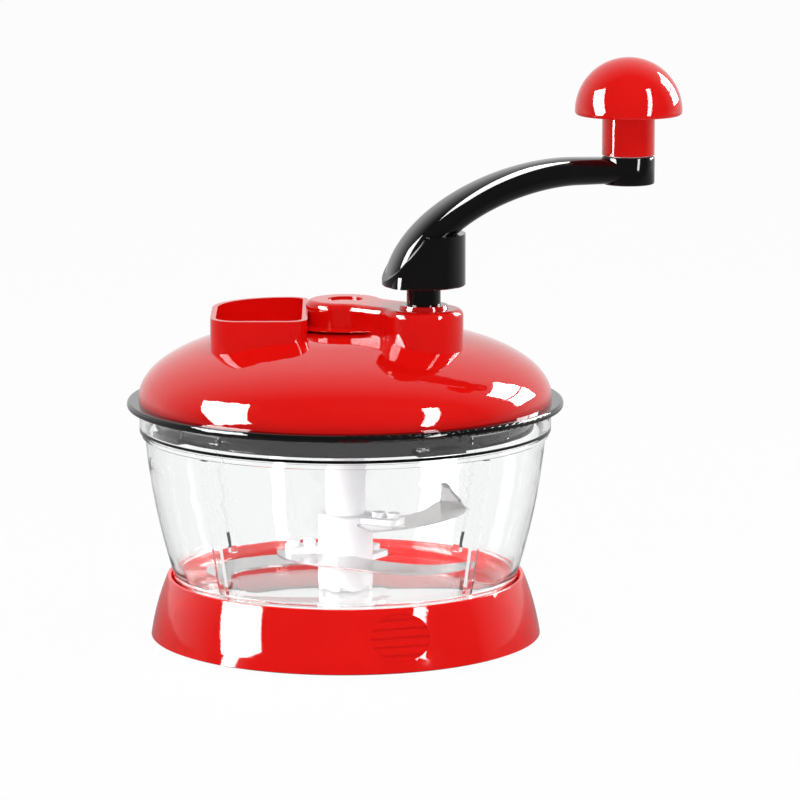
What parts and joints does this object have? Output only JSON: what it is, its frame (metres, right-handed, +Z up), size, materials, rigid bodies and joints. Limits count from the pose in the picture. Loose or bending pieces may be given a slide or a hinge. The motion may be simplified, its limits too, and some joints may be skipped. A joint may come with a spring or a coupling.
{
  "type": "crank food chopper",
  "caption": "Hand-cranked food chopper: clear round bowl in a flared red base ring, red domed lid with feed chute and gearbox, gooseneck crank with mushroom knob, three crescent blades",
  "frame": {"origin": "centre of the base on the table", "axes": "+Z up along the bowl's axis, +X to the right of the viewer, +Y away from the viewer"},
  "size_m": [0.2463, 0.195, 0.2604],
  "materials": {
    "red_plastic": "gloss red moulded plastic",
    "black_plastic": "gloss black moulded plastic",
    "clear_plastic": "clear moulded plastic",
    "white_plastic": "satin white moulded plastic",
    "black_rubber": "matt black rubber",
    "blade_steel": "ground stainless steel",
    "steel": "plain steel"
  },
  "bodies": {
    "base": {"base_ring": "red_plastic", "base_grip_ring": "black_rubber"},
    "bowl": {"bowl": "clear_plastic", "pivot_pin": "steel"},
    "blades": {"blade_hub": "white_plastic", "blade_shaft": "white_plastic", "blade_upper": "blade_steel", "blade_middle": "blade_steel", "blade_lower": "blade_steel"},
    "seal": {"lid_seal": "black_rubber"},
    "lid": {"lid_shell": "red_plastic", "lid_base": "black_plastic", "lid_screws": "steel", "pinion_axle": "steel", "axle_plug": "red_plastic", "spindle_bush": "white_plastic"},
    "pinion": {"pinion": "white_plastic"},
    "crank": {"crank_arm": "black_plastic", "crank_spindle": "black_plastic", "drive_gear": "white_plastic", "spindle_clip": "steel", "gear_washer": "steel", "gear_screw": "steel", "knob_axle": "steel", "knob_washer": "white_plastic", "knob_clip": "steel"},
    "knob": {"knob": "red_plastic"}
  },
  "joints": [
    {"name": "bowl_lift", "type": "slide", "parent": "base", "child": "bowl", "axis": [0, 0, 1], "range_m": [0, 0.06]},
    {"name": "lid_lift", "type": "slide", "parent": "bowl", "child": "seal", "axis": [0, 0, 1], "range_m": [0, 0.1]},
    {"name": "lid_turn", "type": "hinge", "parent": "seal", "child": "lid", "pos_m": [0, 0, 0.103], "axis": [0, 0, 1], "range_deg": [0, 16.5]},
    {"name": "crank_turn", "type": "hinge", "parent": "lid", "child": "crank", "pos_m": [0.0345, -0.028, 0.14], "axis": [0, 0, 1], "continuous": true},
    {"name": "pinion_spin", "type": "hinge", "parent": "lid", "child": "pinion", "pos_m": [0, 0, 0.112], "axis": [0, 0, 1], "continuous": true},
    {"name": "blade_spin", "type": "hinge", "parent": "bowl", "child": "blades", "pos_m": [0, 0, 0.05], "axis": [0, 0, 1], "continuous": true},
    {"name": "knob_spin", "type": "hinge", "parent": "crank", "child": "knob", "pos_m": [0.125, -0.01, 0.23], "axis": [0, 0, 1], "continuous": true}
  ],
  "couplings": [
    {"joint": "pinion_spin", "follows": "crank_turn", "ratio": -2.375},
    {"joint": "blade_spin", "follows": "crank_turn", "ratio": -2.375}
  ]
}
